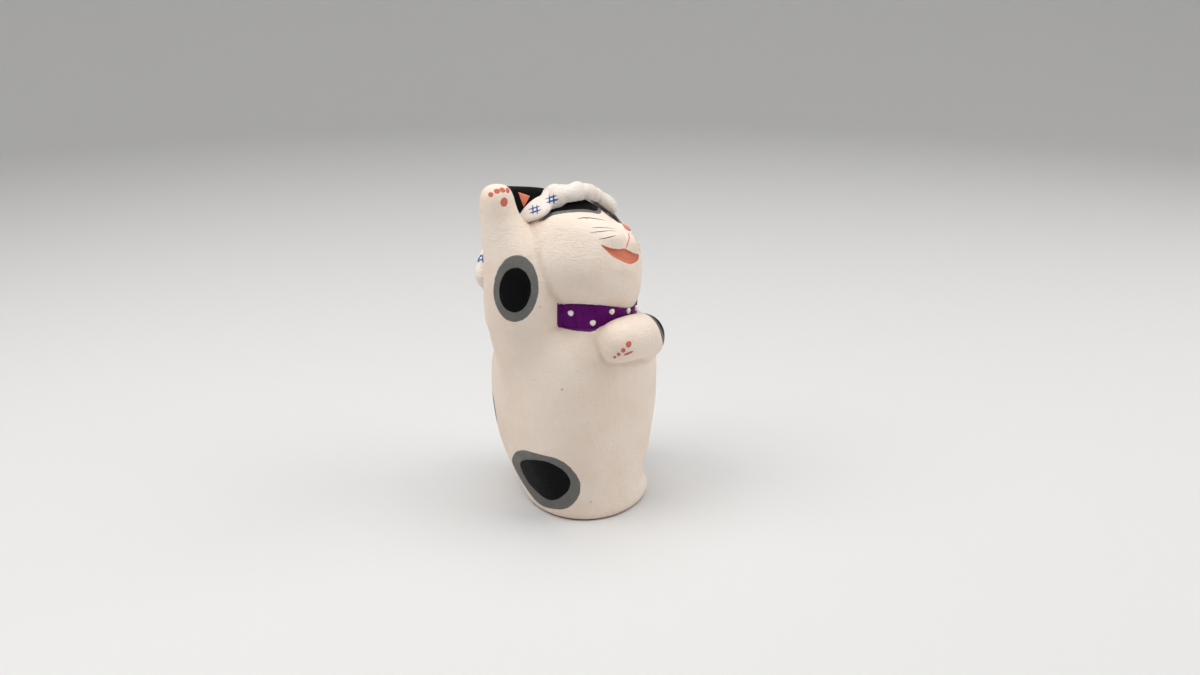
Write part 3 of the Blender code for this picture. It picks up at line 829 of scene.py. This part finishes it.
# Raised dots on the collar, each a slightly uneven bead.
DOT_HALF, DOT_UNEVEN, DOT_SUNK, DOT_RISE = 0.74 * MM, 0.05, 0.12 * MM, 0.42 * MM
dot_nodes = [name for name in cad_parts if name.startswith("collar_dot_")]
dots = []
for name in dot_nodes:
    low, high = (Vector(corner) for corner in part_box(name))
    middle = (low + high) / 2
    out = Vector((middle.x, middle.y, 0)).normalized()
    upright = Vector((0, 0, 1))
    over = upright.cross(out)
    bead = bmesh.new()
    bmesh.ops.create_uvsphere(bead, u_segments=20, v_segments=12, radius=1)
    for vert in bead.verts:
        wave = math.sin(3 * math.atan2(vert.co.y, vert.co.x) + 40 * middle.x)
        flat = (over * vert.co.x + upright * vert.co.y) * DOT_HALF * (1 + DOT_UNEVEN * wave)
        vert.co = middle + flat + out * (vert.co.z * DOT_RISE - DOT_SUNK)
    dots.append(bead)
dot_paint = flat_paint("raised_white", DOT_WHITE, CHALK_PALE, 0.45)
piece("collar_dots", join(*dots), dot_paint, "raised_white", *dot_nodes)

# Brush lines, pads and marks; widths of strokes in millimetres.
EYE_WIDTHS = (0.1, 0.17, 0.15, 0.08)
WHISKER_WIDTHS = (0.05, 0.1, 0.09, 0.05)
PHILTRUM_WIDTHS = (0.18, 0.15, 0.15, 0.2)
HASH_WIDTHS = (0.15, 0.23, 0.12)
stroke_brown = flat_paint("brush_line", STROKE_BROWN, BRUSH_BLACK, 0.6)
pad_red = flat_paint("pad_red", PAD_RED, LIP_ORANGE, 0.62)
hash_blue = flat_paint("hash_blue", HASH_BLUE, HASH_WORN, 0.6)
ear_orange = flat_paint("ear_orange", LIP_ORANGE, LIP_DARK, 0.62)


def face_line(line, half_widths, mirror=False):
    """Brush line on the face through photo pixels, or its mirror image on the far side."""
    flat = [face_spot(body_skin, pixel) for pixel in line]
    if mirror:
        flat = other_side(flat, WHISKER_SPREAD)
    return stroke(body_skin, [on_face(body_skin, spot)[0] for spot in flat], half_widths)


lines = []
for line, widths in [(EYE_LINE, EYE_WIDTHS)] + [(whisker, WHISKER_WIDTHS) for whisker in WHISKERS]:
    lines += [face_line(line, widths), face_line(line, widths, True)]
piece("face_lines", join(*lines), stroke_brown, "black_paint")
piece("lip_line", face_line(PHILTRUM, PHILTRUM_WIDTHS), ear_orange, "painted_clay")


def pad(surface, start, end, half_width):
    """Oval dab of paint between two photo pixels."""
    path = [seen(surface, pixel)[0] for pixel in np.linspace(start, end, 5)]
    return stroke(surface, path, (half_width, half_width), taper=0.5, along_count=14, across_count=7)


# Each pad from one photo pixel to another, with its half width in millimetres.
PADS = [((489.6, 196.8), (491.8, 192.2), 0.68), ((495.6, 193.4), (498.0, 188.8), 0.74),
        ((501.8, 192.4), (503.2, 187.8), 0.74), ((506.8, 193.0), (508.4, 188.2), 0.55),
        ((502.9, 206.6), (505.6, 197.6), 0.9), ((626.4, 346.2), (631.0, 342.0), 0.72),
        ((621.6, 351.6), (625.0, 348.6), 0.56), ((617.4, 355.2), (620.0, 353.0), 0.46),
        ((613.6, 357.8), (615.8, 356.2), 0.34), ((624.0, 354.8), (633.0, 351.2), 0.3)]
piece("paw_pads", join(*[pad(body_skin, *values) for values in PADS]), pad_red, "painted_clay")

# Orange triangle inside the near ear, mirrored in the other.
EAR_TRIANGLE = [(523.6, 206.7), (518.3, 192.2), (529.9, 195.9)]
EAR_PAINT_PROUD = 0.03 * MM


def ear_inside(surface, corners):
    """Painted triangle inside an ear."""
    tip, left, right = (Vector(corner) for corner in corners)
    bm = bmesh.new()
    bmesh.ops.create_grid(bm, x_segments=10, y_segments=8, size=1)
    for vert in bm.verts:
        rise = max(0.02, (vert.co.x + 1) / 2)
        flat = tip + ((left + right) / 2 - tip) * rise + (right - left) * 0.5 * rise * vert.co.y
        spot, out = surface.find_nearest(flat)[:2]
        vert.co = spot + out * EAR_PAINT_PROUD
    bmesh.ops.solidify(bm, geom=bm.faces[:], thickness=PAINT_THICK)
    bmesh.ops.recalc_face_normals(bm, faces=bm.faces)
    return bm


near_corners = np.array([seen(ear_skins["right_ear"], pixel)[0] for pixel in EAR_TRIANGLE])
insides = [ear_inside(ear_skins["right_ear"], near_corners),
           ear_inside(ear_skins["left_ear"], across_head(near_corners))]
piece("ear_insides", join(*insides), ear_orange, "painted_clay")

# Crossed marks on the towel: photo pixels with a turn and a size in pixels, and on the hidden side
# a ray with its start and the mark's size in millimetres.
HASH_MARKS = [((535, 209.6), -0.3), ((551.6, 199.0), -0.3), ((481, 258), -0.2)]
HASH_SIZE, HASH_SHORT, HASH_CROSSING = 5.2, 0.95, math.radians(-76)
FAR_MARKS = [((60, 0, 70), (-1, 0, 0)), ((8, 60, 57), (0, -1, 0)), ((-18, 60, 60), (0, -1, 0))]
FAR_SIZE, FAR_SHORT, FAR_CROSSING, FAR_TURN = 1.45, 1.0, math.radians(84), 0.3
HASH_LONG, LONG_APART, SHORT_APART = 1.2, 0.36, 0.4


def crossed_strokes(lay, turn, crossing, size, short):
    """Two long and two short crossing brush lines; lay() puts a flat point on the towel."""
    made = []
    for angle, length, apart in ((turn, HASH_LONG, LONG_APART), (turn + crossing, short, SHORT_APART)):
        along = np.array((math.cos(angle), math.sin(angle)))
        across = np.array((-along[1], along[0]))
        for side in (-apart, apart):
            path = [lay((along * length * t + across * side) * size) for t in (-1, -0.5, 0, 0.5, 1)]
            made.append(stroke(towel_skin, path, HASH_WIDTHS, along_count=12, across_count=3))
    return made


def hash_mark(pixel, turn):
    """Mark round a photo pixel."""
    def lay(flat):
        return seen(towel_skin, np.array(pixel) + flat)[0]
    return crossed_strokes(lay, turn, HASH_CROSSING, HASH_SIZE, HASH_SHORT)


def far_mark(start, way):
    """Mark on the hidden side, where a ray lands on the towel."""
    spot, normal = towel_skin.ray_cast(Vector(start) * MM, Vector(way))[:2]
    first = normal.cross(Vector((0, 0, 1))).normalized()
    second = normal.cross(first)

    def lay(flat):
        return towel_skin.find_nearest(spot + (first * flat[0] + second * flat[1]) * MM)[0]
    return crossed_strokes(lay, FAR_TURN, FAR_CROSSING, FAR_SIZE, FAR_SHORT)


marks = []
for values in HASH_MARKS:
    marks += hash_mark(*values)
for values in FAR_MARKS:
    marks += far_mark(*values)
piece("towel_marks", join(*marks), hash_blue, "painted_clay")

plate_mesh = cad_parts["base_plate"].data
plate_mesh.materials.clear()
plate_mesh.materials.append(clay_paint())

# Studio: a pale floor that sweeps up into its backdrop all round.
FLOOR_FLAT, FLOOR_SWEEP, FLOOR_TURN = 0.7, 0.35, 1.5
BACKDROP_TOP = (1.10, 1.1)
floor = bmesh.new()
profile = [(0.0, 0.0)]
for turn in np.linspace(0, FLOOR_TURN, 12):
    profile.append((FLOOR_FLAT + FLOOR_SWEEP * math.sin(turn), FLOOR_SWEEP - FLOOR_SWEEP * math.cos(turn)))
profile.append(BACKDROP_TOP)
profile_verts = [floor.verts.new((x, 0, z)) for x, z in profile]
profile_edges = [floor.edges.new(pair) for pair in zip(profile_verts, profile_verts[1:])]
bmesh.ops.spin(floor, geom=profile_verts + profile_edges, cent=(0, 0, 0), axis=(0, 0, 1),
               angle=math.tau, steps=96, use_merge=True)
bmesh.ops.remove_doubles(floor, verts=floor.verts, dist=1e-5)
floor_mesh = bpy.data.meshes.new("studio_floor")
floor.to_mesh(floor_mesh)
floor.free()
for face in floor_mesh.polygons:
    face.use_smooth = True
floor_mesh.materials.append(Paint("studio_paper", 0.85).finish(PAPER_GREY))
studio_floor = bpy.data.objects.new("studio_floor", floor_mesh)
bpy.context.scene.collection.objects.link(studio_floor)

# Soft lamps left, right and above, in front of an even pale air.
LAMP_TINT = (1, 0.985, 0.965)
TOP_TINT = (1, 0.99, 0.975)
LEFT_PLACE = -view_right * 0.28 + view_back * 0.1 + Vector((0, 0, 0.40))
RIGHT_PLACE = view_right * 0.5 + Vector((0, 0, 0.38))
TOP_PLACE = Vector((0.0, 0.02, 0.6))


def softbox(name, place, aim_height, wide, power, tint):
    """Round soft lamp that looks at a height on the cat's axis."""
    lamp = bpy.data.lights.new(name, "AREA")
    lamp.shape = "DISK"
    lamp.size = wide
    lamp.energy = power
    lamp.color = tint
    obj = bpy.data.objects.new(name, lamp)
    obj.location = place
    obj.rotation_euler = (Vector((0, 0, aim_height)) - place).to_track_quat("-Z", "Y").to_euler()
    bpy.context.scene.collection.objects.link(obj)


softbox("left_light", LEFT_PLACE, 0.07, 0.34, 0.95, LAMP_TINT)
softbox("right_light", RIGHT_PLACE, 0.05, 0.5, 1.25, LAMP_TINT)
softbox("top_light", TOP_PLACE, 0.03, 0.5, 1.6, TOP_TINT)

AIR_TINT = (1.0, 0.992, 0.985, 1)
AIR_STRENGTH = 0.44
world = bpy.data.worlds.new("studio_air")
bpy.context.scene.world = world
world.use_nodes = True
air = world.node_tree.nodes["Background"]
air.inputs["Color"].default_value = AIR_TINT
air.inputs["Strength"].default_value = AIR_STRENGTH

SENSOR_WIDE = 36
camera = bpy.data.cameras.new("photo_camera")
camera.sensor_width = SENSOR_WIDE
camera.lens = SENSOR_WIDE * VIEW_LENS / PHOTO_WIDE
camera.clip_start = 0.01
camera_obj = bpy.data.objects.new("photo_camera", camera)
bpy.context.scene.collection.objects.link(camera_obj)
camera_obj.location = EYE
camera_obj.rotation_euler = view_back.to_track_quat("Z", "Y").to_euler()
bpy.context.scene.camera = camera_obj
bpy.context.scene.view_settings.view_transform = "Standard"
